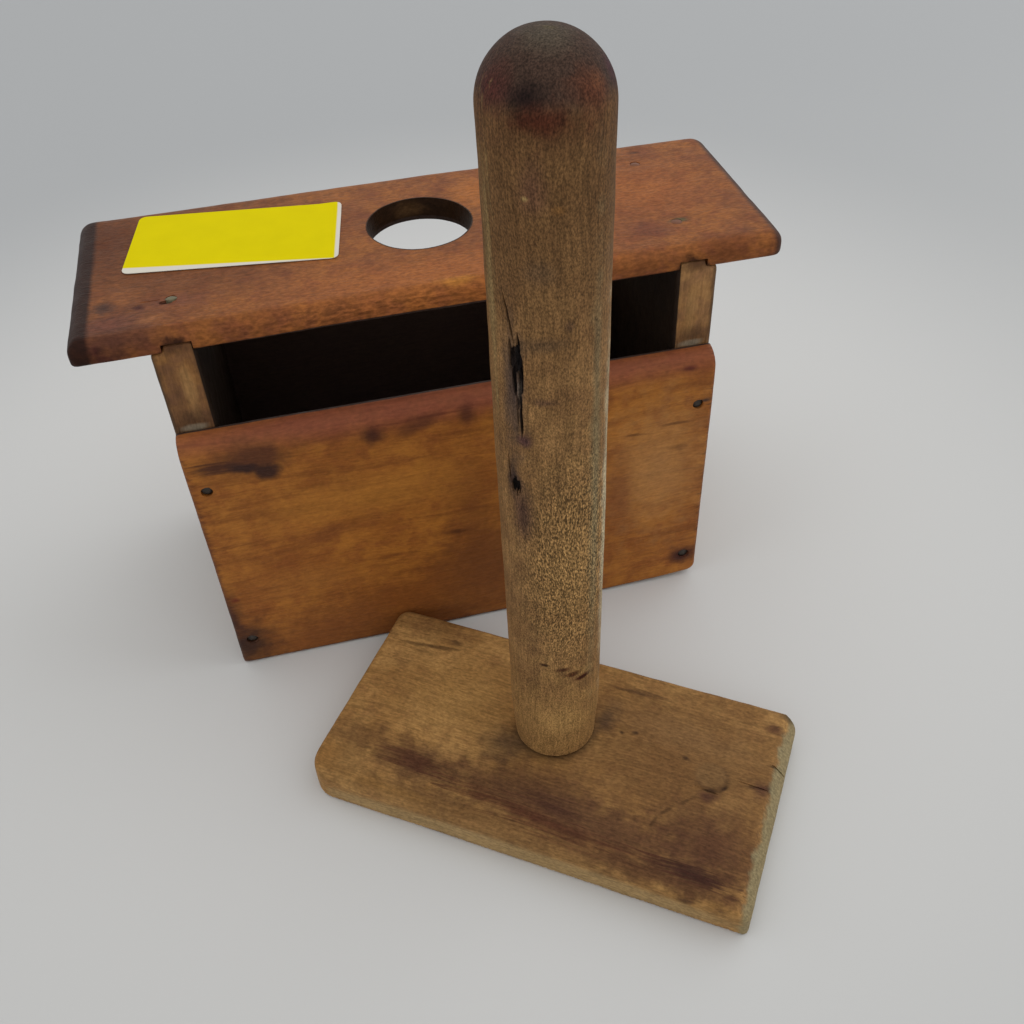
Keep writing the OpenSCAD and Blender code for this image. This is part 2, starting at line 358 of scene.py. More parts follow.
def place_piece(piece, material, body, slot, *nodes):
    """Dresses a finished piece and hands it to its body in place of its CAD nodes."""
    piece.data.materials.clear()
    piece.data.materials.append(material)
    choose(piece)
    bpy.ops.object.shade_smooth_by_angle(angle=math.radians(40))
    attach(piece, body)
    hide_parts(*nodes)


front_low, front_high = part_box("front_board")
for side, node in ENDS:
    low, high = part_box(node)
    shoulder = high.z - TONGUE_H
    board = sawn_block(f"worn_{node}", low, (high.x, high.y, shoulder))
    ease(board, END_EASE, 2, lambda middle, edge: True)
    left, right = tongue_faces(side, low, high)
    tongue = sawn_block("tongue", (left, low.y, shoulder - MM), (right, high.y, high.z))
    change(board, "BOOLEAN", operation="UNION", object=tongue, solver="EXACT")
    bpy.data.objects.remove(tongue)
    wear(board, VOXEL, END_WAVES)
    middle = (low + high) / 2
    wall = (high.x - low.x) / 2 / MM
    up = (high.z - middle.z) / MM
    front = (low.y - middle.y) / MM
    sill = (front_high.z - middle.z) / MM
    # bare tan wood, dull, browner at its edges, with painted shadow by its joints, and nearly black inside
    # the box, partly from use and partly with painted shade
    tan = aged_wood(
        f"planed hardwood, tan, {node.replace('_', ' ')}", middle, (0, 0, 0), END_TAN[side], upright=True,
        fibre=0.12, grit=0.12,
        stains=[
            # painted shadow by the joints: under the lid at the top, and just above the front board
            stain("4c2f1d", 0.85, (0, front, up), (9, 4, 4.4)),
            stain("4a3322", 0.75, (0, front, sill + 3), (8, 6, 5)),
            stain("857a68", 0.75, (0, front, sill + 0.4), (5, 6, 1.6), soft=0.7),
            stain("43301f", 0.85, (side * wall, front, sill + 12), (2.2, 6, 60), kind="streaky"),
            stain("43301f", 0.75, (-side * wall, front, sill + 12), (1.9, 6, 60), kind="streaky"),
            stain("a67f4e", 0.6, (-side * 1.2, front, sill + 12), (2.6, 6, 12), soft=1),
            stain("5b3f29", 0.6, (side * wall, 10, -30), (4, 26, 30), soft=1),
            # the inner face nearly black: the dark of use with painted shade
            stain(END_INSIDE_USE_AND_SHADE, 0.97, (-side * wall, 0, 0), (1, 400, 400), soft=0.2, kind="clean"),
        ],
    )
    place_piece(board, tan, "mould", "end_wood", node)

# Top board
# The lid of the mould box: one reddish brown board with a round hole that guides the handle, planed
# round on its upper edges, and grooved across its underside for the tongues of the end boards.
TOP_ROUND = 3.6 * MM
TOP_EASE = 0.6 * MM
TOP_WAVES = ((35 * MM, 0.35 * MM), (6 * MM, 0.16 * MM))
# Each corner is given by its sides along X and Y, with its radius.
TOP_CORNERS = ((-1, -1, 1.8 * MM), (1, -1, 3.6 * MM), (1, 1, 4.8 * MM), (-1, 1, 4.4 * MM))
GROOVE_FIT = 0.25 * MM
HOLE_R = 14 * MM
HOLE_BACK = 2.2 * MM
HOLE_CUTTER = 10 * MM
HOLE_WAVE = (9 * MM, 0.3 * MM)
HEAD_R = 1.4 * MM
HEAD_FIT = 0.05 * MM
HEAD_RECESS = 0.4 * MM
SPLINTER_WAVE = 1.3 * MM
SPLINTER_RAGGED = 0.6
NICK_VOXEL = 0.12 * MM
# A cutter runs on past the wood by OVERRUN, and NEAR is how close an edge is to the place it is picked by.
OVERRUN = 5 * MM
NEAR = 0.01 * MM
# The nicks' places from the middle of the top face, and their half sizes, in mm
NICKS = (
    ((-66.3, -18.9, 0), (1.7, 0.9, 0.8)),
    ((-70.2, -17.2, 0), (2.6, 0.25, 0.25)),
    ((61, -37.8, -6.2), (1.5, 1.3, 1.2)),
    ((69.6, -37.8, -6), (1.6, 1.2, 1.5)),
    ((-60.6, -38, -6.4), (1.1, 0.9, 0.8)),
    ((24, -38, -6.4), (2.6, 0.6, 0.5)),
    ((-30, -38.2, -6.3), (3.4, 0.5, 0.4)),
    ((84, -36.5, -5), (1.6, 0.9, 0.8)),
)
TOP_RED = ("8f572a", "7d4a28", "693a2c", "4e2a1c")


def runs(edge, axis):
    """Whether an edge runs along an axis, x, y or z."""
    start, end = [getattr(vertex.co, axis) for vertex in edge.verts]
    return abs(start - end) > MM


def upright_edge(at):
    """A test for the upright edge nearest to a corner."""
    return lambda middle, edge: (middle.xy - at.xy).length < 10 * NEAR and runs(edge, "z")


def cut_away(piece, *tools):
    """Cuts the shapes of the tools out of a piece."""
    for tool in tools:
        change(piece, "BOOLEAN", operation="DIFFERENCE", object=tool, solver="EXACT")
        bpy.data.objects.remove(tool)


def splinter(at, size, turn=Matrix.Identity(4)):
    """A ragged egg-shaped cutter with half sizes along its own axes, for a nick, a scratch or a split."""
    bpy.ops.object.select_all(action="DESELECT")
    bpy.ops.mesh.primitive_ico_sphere_add(subdivisions=4, radius=1, scale=size)
    bpy.ops.object.transform_apply(location=True, rotation=True, scale=True)
    tool = bpy.context.object
    roughen(tool, SPLINTER_WAVE, SPLINTER_RAGGED * min(size))
    tool.data.transform(Matrix.Translation(at) @ turn)
    return tool


def as_one(tools, voxel):
    """Makes one closed cutter out of splinters that may cross each other."""
    bpy.ops.object.select_all(action="DESELECT")
    for tool in tools:
        tool.select_set(True)
    bpy.context.view_layer.objects.active = tools[0]
    bpy.ops.object.join()
    change(tools[0], "REMESH", mode="VOXEL", voxel_size=voxel)
    return tools[0]


def drill(at, radius, deep, axis="Z"):
    """A round cutter standing on a face at a place, as deep below the face as above it."""
    turn = {"Z": (0, 0, 0), "Y": (math.pi / 2, 0, 0)}[axis]
    bpy.ops.object.select_all(action="DESELECT")
    bpy.ops.mesh.primitive_cylinder_add(vertices=48, radius=radius, depth=2 * deep, location=at,
                                        rotation=turn)
    bpy.ops.object.transform_apply(location=True, rotation=True, scale=True)
    return bpy.context.object


top_low, top_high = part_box("top_board")
box_y = (top_low.y + top_high.y) / 2
lid = sawn_block("worn_top_board", top_low, top_high)
for x_side, y_side, radius in TOP_CORNERS:
    corner = Vector((top_high.x * x_side, top_high.y if y_side > 0 else top_low.y))
    ease(lid, radius, 8, upright_edge(corner))
ease(lid, TOP_ROUND, 8, lambda middle, edge: min(v.co.z for v in edge.verts) > top_high.z - NEAR)
ease(lid, TOP_EASE, 2, lambda middle, edge: max(v.co.z for v in edge.verts) < top_low.z + NEAR)
wear(lid, VOXEL, TOP_WAVES)
mouths = []
for side, node in ENDS:
    low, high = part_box(node)
    left, right = tongue_faces(side, low, high, GROOVE_FIT)
    cut_away(lid, sawn_block("groove", (left, low.y - OVERRUN, top_low.z - MM),
                             (right, high.y + OVERRUN, high.z + GROOVE_FIT)))
    mouths.append(((left + right) / 2 / MM, (low.y - box_y) / MM, (top_low.z - top_high.z) / MM))
hole = drill((0, box_y + HOLE_BACK, top_high.z), HOLE_R, HOLE_CUTTER)
roughen(hole, *HOLE_WAVE)
cut_away(lid, hole)
nail_low, nail_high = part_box("top_board_nails")
top_nails = [Vector((x, y, top_high.z)) for x in (nail_low.x + HEAD_R, nail_high.x - HEAD_R)
             for y in (nail_low.y + HEAD_R, nail_high.y - HEAD_R)]
cut_away(lid, *[drill(at, HEAD_R + HEAD_FIT, HEAD_RECESS) for at in top_nails])
lid_at = Vector((0, box_y, top_high.z))
nicks = [splinter(lid_at + Vector(at) * MM, Vector(size) * MM) for at, size in NICKS]
cut_away(lid, as_one(nicks, NICK_VOXEL))
# waxed wood with a low, even gloss, reddish in the open, with painted shade along its ends, its back
# edge, its joints and the wall of its hole, over dark end grain at the left end
red = aged_wood(
    "waxed hardwood, reddish brown, planed", lid_at, (0, 0, 0), TOP_RED, haze=0.5, band=0.2, fibre=0.07,
    fleck=0.12, grit=0.2, torn=(0.3, (-20, -35, -2), (60, 6, 9)), rough=(0.4, 0.54), shine=0.1,
    stains=[
        stain("9a5a2c", 0.8, (4, -24, -2), (76, 15, 9), soft=1),
        stain("965628", 0.6, (62, 2, 0), (30, 28, 9), 20, 1),
        stain("a4632c", 0.75, (17, 15, 0), (9, 12, 9)),
        stain("683c20", 0.88, (-66, 8, 0), (50, 48, 20), soft=0.8),
        stain("552c14", 0.8, (-82, 18, 0), (14, 32, 20)),
        stain("6f3f2c", 0.6, (0, 36, -1), (110, 5, 9)),
        stain("5c3829", 0.8, (-80, -28, 0), (20, 15, 9)),
        stain("6b3d30", 0.5, (-80, -25, 0), (10, 5, 9)),
        stain("4a2a20", 0.8, (-80, -34, 0), (13, 8, 9), soft=0.8),
        stain("6e3f30", 0.5, (-64, -19, 0), (14, 5, 9)),
        stain("96603a", 0.65, (-70.5, -25.7, 0), (5, 2.4, 9), 10),
        stain("8a5430", 0.5, (-76.7, -13.7, 0), (5, 5, 9)),
        stain("3a2a26", 0.75, (-81.4, -16.7, 0), (4, 4, 9)),
        stain("3f1712", 0.85, (-72.9, -19.5, 0), (2.6, 2, 9)),
        stain("8e5420", 0.85, (20, -36.4, -2), (74, 4, 9), soft=0.6),
        # a dark line along the lower front edge: dark brown wood with painted shadow
        stain("4c2413", 0.6, (12, -38.9, -3.5), (90, 1.8, 2.4), kind="streaky"),
        stain("6f3a22", 0.6, (-46, -33, 0), (16, 3.4, 5)),
        # painted highlight where the front edge starts to round
        stain("b07430", 0.75, (4, -29, 0), (8, 2.4, 4)),
        stain("4a2617", 0.85, (-72, -36.5, -3), (18, 5, 8)),
        stain("331012", 0.93, (-84.5, -36.5, -4), (8, 6.5, 9), soft=0.6),
        # the rounded left end: dark end grain with painted shade
        stain("26120b", 0.96, (-92, 0, -1), (8.2, 200, 30), soft=0.2, kind="clean"),
        stain("5e3516", 0.65, (52, -34.5, -2), (12, 4, 6)),
        stain("6b3a1c", 0.5, (73, -30, -1), (12, 5, 9), -10),
        stain("3c2018", 0.85, (79.5, -34.6, -1), (4.4, 2.6, 9)),
        stain("3c2018", 0.7, (86, -35, -2), (3, 4, 6)),
        stain("4a2c1e", 0.75, (67.1, 24.4, 0), (2.4, 1.4, 9)),
        # painted shade on the right end, seen edge on
        stain("3a231b", 0.92, (91, 0, -1), (5, 200, 20), soft=0.4, kind="clean"),
        stain("4a3026", 0.8, (86, 37, -1), (7, 6, 9)),
        # painted shade along the rounded back edge
        stain("3f281f", 0.85, (0, 39.2, -1), (110, 3.4, 9), soft=0.6),
        stain("68402e", 0.6, (44, 20, 0), (20, 9, 9), 10),
        stain("633629", 0.55, (58, -20, 0), (14, 7, 9), -20),
        # painted shade on the wall of the guide hole
        stain("24180f", 0.96, (0, HOLE_BACK / MM, -6), (14.6, 14.6, 60), soft=0.03, kind="clean"),
        stain("5a4026", 0.7, (-1, 16.4, -3), (8, 3, 3.4)),
        # the underside nearly black: the dark of use with painted shade
        stain(INSIDE_USE_AND_SHADE, 0.97, (0, 0, -6.4), (66, 200, 1.2), soft=0.2, kind="clean"),
        stain("4c4a30", 0.85, (66, -16.9, 0), (3.6, 1.7, 4), soft=0.7),
        stain("2c1610", 0.85, (-66.8, -18.8, 0), (1.8, 0.9, 4), soft=0.6),
        # painted shadow round the mouths of the grooves
        *[stain("2a150c", 0.9, mouth, (5.4, 2.4, 4.5), soft=0.4) for mouth in mouths],
    ],
)
place_piece(lid, red, "mould", "top_wood", "top_board")

# Front and back boards
# Two thin orange brown boards nailed on the edges of the end boards, lower than the lid, so that a
# window stays open above each. Their outer top edges are planed round and rubbed red by hands.
SIDE_ROUND = 5.2 * MM
SIDE_EASE = 0.9 * MM
# The edges that are eased lie within RIM of the board's ends or foot.
RIM = 3 * MM
CORNER_WORN = 2.6 * MM
# The foot is worn away by FOOT_WORN at the right end, from FOOT_WORN_FROM of the way there, up to a height.
FOOT_WORN = 1.7 * MM
FOOT_WORN_FROM = 0.45
FOOT_WORN_H = 14 * MM
SIDE_WAVES = ((40 * MM, 0.3 * MM), (7 * MM, 0.14 * MM))
NAIL_HOLE_FIT = 0.15 * MM
NAIL_HOLE_DEEP = 1.3 * MM
NAIL_HOLE_WAVE = (1.5 * MM, 0.5 * MM)
TORN_HOLES = (0, 2)
TORN_OUT = Vector((1.9, 1, 1.7)) * MM
SIDE_ORANGE = ("a5692b", "8f5624", "7d4522", "663818")

back_low, back_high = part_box("back_board")
side_nails = {}
for name, side, low, high in (("front", -1, front_low, front_high), ("back", 1, back_low, back_high)):
    board = sawn_block(f"worn_{name}_board", low, high)
    outer = low.y if side < 0 else high.y
    ease(board, SIDE_ROUND, 8, lambda middle, edge: middle.z > high.z - NEAR
         and abs(middle.y - outer) < NEAR and runs(edge, "x"))
    ease(board, CORNER_WORN, 5, lambda middle, edge: middle.x > high.x - NEAR and middle.z < NEAR
         and runs(edge, "y"))
    ease(board, SIDE_EASE, 3, lambda middle, edge: abs(middle.y - outer) < 2 * RIM
         and (abs(middle.x) > high.x - RIM or middle.z < RIM) and len(edge.link_faces) == 2
         and edge.calc_face_angle(0) > 1)
    wear(board, VOXEL, SIDE_WAVES)
    for vertex in board.data.vertices:
        across = max(0, vertex.co.x - FOOT_WORN_FROM * high.x) / ((1 - FOOT_WORN_FROM) * high.x)
        up = max(0, 1 - vertex.co.z / FOOT_WORN_H)
        vertex.co.z += FOOT_WORN * across ** 2 * up
    nail_low, nail_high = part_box(f"{name}_board_nails")
    places = [Vector((x, outer, z)) for x in (nail_low.x + HEAD_R, nail_high.x - HEAD_R)
              for z in (nail_low.z + HEAD_R, nail_high.z - HEAD_R)]
    side_nails[name] = places
    for number, at in enumerate(places):
        hole = drill(at, HEAD_R + NAIL_HOLE_FIT, NAIL_HOLE_DEEP, "Y")
        roughen(hole, *NAIL_HOLE_WAVE)
        cut_away(board, hole)
        if number in TORN_HOLES:
            cut_away(board, splinter(at, TORN_OUT))
    marks = [
        stain("7c4230", 0.85, (0, 87.5, -1), (140, 12, 9), soft=0.6, kind="clean"),
        stain("7a4720", 0.75, (-14, 10, 0), (84, 26, 9), 6, 0.7),
        # a dark line along the foot: dark brown edge with painted contact shadow
        stain("3c1f14", 0.85, (0, -0.5, 0), (140, 2.6, 9)),
        stain("4b2218", 0.75, (-72, 42, 0), (3, 70, 9), kind="streaky"),
        # painted shadow in the gap at the right end
        stain("3a1b14", 0.85, (72.2, 42, 0), (2.4, 70, 9), kind="streaky"),
        stain("331415", 0.9, (66.6, 9.8, 0), (7, 5.4, 9), soft=0.8),
        stain("2f1c18", 0.92, (-69, 8, 0), (13, 15, 9), -4),
        stain("2f1a1a", 0.7, (-71, 20, 0), (5, 14, 9), -4),
        stain("b38450", 0.6, (56, 48, 0), (24, 36, 9), soft=1),
    ]
    for at in places:
        marks.append(stain("1a120e", 0.9, (at.x / MM * -side, at.z / MM, -0.9), (2, 2, 0.8), soft=0.3))
    if name == "front":
        marks += [
            stain("b07530", 0.6, (-26, 58, 0), (46, 13, 9), soft=1),
            stain("a56c30", 0.5, (-46, 30, 0), (22, 9, 9), soft=1),
            stain("6e4222", 0.75, (4, 26, 0), (24, 26, 9), -20),
            stain("6d401f", 0.55, (2, 46, 0), (15, 34, 9), soft=1),
            stain("6b4220", 0.7, (-56, 77, 0), (19, 9, 9), soft=1),
            stain("43261c", 0.88, (-63.5, 76.2, 0), (11, 3.2, 9), -3, 0.8, "streaky"),
            stain("55301f", 0.85, (-53.4, 77.6, 0), (11, 7, 9), -6, 0.7),
            stain("33201d", 0.9, (-57, 74.8, 0), (7, 2.4, 9), -16, 0.8),
            stain("2f1c1a", 0.92, (-51.4, 72.4, 0), (6.2, 4, 9), -22, 0.7),
            stain("4a1c14", 0.55, (-7.6, 80.8, 0), (20, 1, 9), 1, kind="streaky"),
            stain("3e211a", 0.88, (-22.8, 77.8, 0), (4.8, 4.8, 9)),
            stain("56301f", 0.75, (-11, 78.6, 0), (9, 3.4, 9), 22),
            stain("4a281c", 0.8, (2.2, 79.2, 0), (3.8, 5, 9)),
            stain("5c3018", 0.6, (14, 77.5, 0), (10, 4, 9)),
            stain("6a3a1e", 0.6, (-23.1, 33.4, 0), (6, 2, 9)),
            stain("472818", 0.7, (-3.3, 38.3, 0), (4, 1.3, 9)),
            stain("6a2c1a", 0.75, (-68.6, 27.4, 0), (2, 1.4, 9)),
            stain("6f3c20", 0.6, (-38, 47, 0), (13, 5, 9), 14),
            stain("7c4826", 0.6, (45, 42, 0), (6.5, 21, 9)),
            stain("50301a", 0.6, (49.5, 61.9, 0), (6, 0.9, 9), -4, kind="streaky"),
            stain("50301a", 0.6, (61.5, 63.6, 0), (7.4, 0.8, 9), -2, kind="streaky"),
            stain("6a4424", 0.6, (62.4, 54.7, 0), (4, 1.8, 9)),
            stain("50201a", 0.85, (64, 81.6, 0), (3.4, 1.2, 9)),
            stain("33302e", 0.8, (69, 70, 0), (3, 1, 9)),
            stain("5a3320", 0.6, (20, 52, 0), (12, 5, 9), -10),
        ]
    # the inner face nearly black: the dark of use with painted shade
    marks.append(stain(INSIDE_USE_AND_SHADE, 0.97, (0, 42, -6.3), (400, 400, 1.4), soft=0.2, kind="clean"))
    turn = (math.pi / 2, 0, 0) if side < 0 else (math.pi / 2, 0, math.pi)
    # oiled wood gone orange brown, softly clouded, with a redder band along its top edge
    orange = aged_wood(f"oiled hardwood, orange brown, {name} board", (0, outer, 0), turn, SIDE_ORANGE, marks,
                       haze=0.5, band=0.45, fibre=0.08, fleck=0.1, grit=0.1, rough=(0.42, 0.6))
    place_piece(board, orange, "mould", "side_wood", f"{name}_board")

# Nails
# Short cut nails of iron, driven below the wood and rusted dark: four through the lid and four through
# each side board. Their heads are hammered, so none is quite level. Old wax covers all but one of the lid's.
NAIL_LENGTH = 26 * MM
NAIL_SHANK_R = 0.9 * MM
NAIL_POINT = 3 * MM
NAIL_TIP = 0.15
HEAD_T = MM
# The head's crown rises in two steps, each so far in and so far up.
HEAD_CROWN = ((0.45 * MM, 0.22 * MM), (0.4 * MM, 0.08 * MM))
TOP_TILTS = (14, -4, 3, 6)
SIDE_TILTS = (-7, -4, 3, 6)
TOP_SUNK = 0.1 * MM
SIDE_SUNK = 0.8 * MM
RUST_PIT_W = 0.7 * MM


def iron_nail(name, at, axis, tilt, sunk):
    """A nail driven at a place, with its head tilted and so far below the surface."""
    bpy.ops.object.select_all(action="DESELECT")
    bpy.ops.mesh.primitive_cylinder_add(vertices=24, radius=HEAD_R, depth=HEAD_T,
                                        location=(0, 0, -0.5 * HEAD_T))
    bpy.ops.object.transform_apply(location=True, rotation=True, scale=True)
    nail = bpy.context.object
    nail.name = name
    pick(nail, "FACE", lambda middle, face: face.normal.z > 0.9)
    for inward, up in HEAD_CROWN:
        bpy.ops.mesh.inset(thickness=inward)
        bpy.ops.transform.translate(value=(0, 0, up))
    bpy.ops.object.mode_set(mode="OBJECT")
    pick(nail, "FACE", lambda middle, face: face.normal.z < -0.9)
    bpy.ops.mesh.inset(thickness=HEAD_R - NAIL_SHANK_R)
    for down in (NAIL_LENGTH - HEAD_T - NAIL_POINT, NAIL_POINT):
        bpy.ops.mesh.extrude_region_move(TRANSFORM_OT_translate={"value": (0, 0, -down)})
    bpy.ops.transform.resize(value=(NAIL_TIP, NAIL_TIP, 1))
    bpy.ops.object.mode_set(mode="OBJECT")
    pick(nail, "FACE", lambda middle, face: middle.z > -HEAD_T)
    bpy.ops.transform.rotate(value=tilt, orient_axis="X", center_override=(0, 0, 0))
    bpy.ops.object.mode_set(mode="OBJECT")
    turn = {"down": 0, "back": math.pi / 2, "forward": -math.pi / 2}[axis]
    into = {"down": Vector((0, 0, -1)), "back": Vector((0, 1, 0)), "forward": Vector((0, -1, 0))}[axis]
    nail.data.transform(Matrix.Translation(at + into * sunk) @ Matrix.Rotation(turn, 4, "X"))
    return nail


def old_iron(name, fresh, worn, metallic):
    """Wrought iron, rusted or waxed over: pitted, dull, and blotched from one colour to another."""
    material, tree = empty_material(name)
    spot = add(tree, "ShaderNodeTexCoord")["Object"]
    pits = add(tree, "ShaderNodeTexNoise", {"Vector": spot, "Scale": 1 / RUST_PIT_W, "Detail": 4.0})[0]
    rust = add(tree, "ShaderNodeMix", {0: pits, 6: hex_colour(fresh), 7: hex_colour(worn)},
               data_type="RGBA")[2]
    relief = add(tree, "ShaderNodeBump", {"Height": pits, "Strength": 0.6, "Distance": 0.15 * MM})[0]
    metal = add(tree, "ShaderNodeBsdfPrincipled", {"Base Color": rust, "Metallic": metallic, "Roughness": 0.6,
                "Normal": relief})
    add(tree, "ShaderNodeOutputMaterial", {"Surface": metal[0]})
    return material


rusted = old_iron("iron, wrought, rusted", "4a423a", "1c1511", 0.3)
rubbed = old_iron("iron, wrought, rubbed bare", "857e60", "3c3729", 0.3)
waxed = old_iron("iron, wrought, waxed over", "7a4a2a", "5e3522", 0.1)
for group, axis, places in (
    ("top", "down", top_nails),
    ("front", "back", side_nails["front"]),
    ("back", "forward", side_nails["back"]),
):
    tilts = TOP_TILTS if group == "top" else SIDE_TILTS
    for number, (at, tilt) in enumerate(zip(places, tilts)):
        if group != "top":
            iron, sunk = rusted, SIDE_SUNK
        elif number:
            iron, sunk = waxed, TOP_SUNK
        else:
            # this one stands a little proud, so rags and hands have rubbed it bare
            iron, sunk = rubbed, -TOP_SUNK
        nail = iron_nail(f"{group}_nail_{number + 1}", at, axis, math.radians(tilt), sunk)
        place_piece(nail, iron, "mould", "nail_steel", f"{group}_board_nails")

# Press board
# The flat yellowish board that pushes the butter, cut to slide between the four walls of the mould. Its
# corners are worn unevenly, it is stained dark along the front, and it holds one round knot.
PLUNGER_TURN = math.radians(-34.5)
PRESS_L = 119.4 * MM
PRESS_W = 61 * MM
PRESS_CORNERS = ((-1, -1, 7 * MM), (1, -1, 1.6 * MM), (1, 1, 3 * MM), (-1, 1, 3.6 * MM))
PRESS_EDGE = 1.3 * MM
PRESS_EASE = 0.8 * MM
PRESS_VOXEL = 0.6 * MM
PRESS_WAVES = ((35 * MM, 0.35 * MM), (6 * MM, 0.16 * MM))
# The right end is worn thin over this length, by this share of the board's thickness.
PRESS_WORN = 3.4 * MM
PRESS_WORN_BY = 0.3
SCREW_HEAD_R = 4.6 * MM
SCREW_HEAD_DEEP = 0.9 * MM
# The nicks' places on the board and their half sizes, in mm, and their turns in degrees
PRESS_NICKS = (
    ((58.5, 12.3, 8.4), (4.5, 0.25, 2.2), -4),
    ((53, 4.6, 10), (5, 0.2, 0.3), -3),
    ((41.6, -0.6, 10), (3.4, 0.35, 0.35), -6),
    ((20, -29.8, 10), (5, 0.6, 0.5), 2),
)
PRESS_YELLOW = ("aa824e", "966f40", "835e3a", "5c4024")


def middle_of(node, height=0):
    """The middle of a node's box as seen from above, at a height."""
    low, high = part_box(node)
    return Vector(((low.x + high.x) / 2, (low.y + high.y) / 2, height))


press_at = middle_of("press_board")
press_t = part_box("press_board")[1].z
press_frame = Matrix.Translation(press_at) @ Matrix.Rotation(PLUNGER_TURN, 4, "Z")
foot = sawn_block("worn_press_board", (-PRESS_L / 2, -PRESS_W / 2, 0), (PRESS_L / 2, PRESS_W / 2, press_t))
for x_side, y_side, radius in PRESS_CORNERS:
    ease(foot, radius, 8, upright_edge(Vector((x_side * PRESS_L / 2, y_side * PRESS_W / 2))))
ease(foot, PRESS_EDGE, 6, lambda middle, edge: min(v.co.z for v in edge.verts) > press_t - NEAR)
ease(foot, PRESS_EASE, 3, lambda middle, edge: max(v.co.z for v in edge.verts) < NEAR)
foot.data.transform(press_frame)
wear(foot, PRESS_VOXEL, PRESS_WAVES)
for vertex in foot.data.vertices:
    along = (press_frame.inverted() @ vertex.co).x
    vertex.co.z *= 1 - PRESS_WORN_BY * max(0, along - PRESS_L / 2 + PRESS_WORN) / PRESS_WORN
cut_away(foot, drill(middle_of("handle_screw"), SCREW_HEAD_R, SCREW_HEAD_DEEP))
nicks = [splinter(press_frame @ (Vector(at) * MM), Vector(size) * MM,
                  Matrix.Rotation(PLUNGER_TURN + math.radians(angle), 4, "Z"))
         for at, size, angle in PRESS_NICKS]
cut_away(foot, as_one(nicks, NICK_VOXEL))
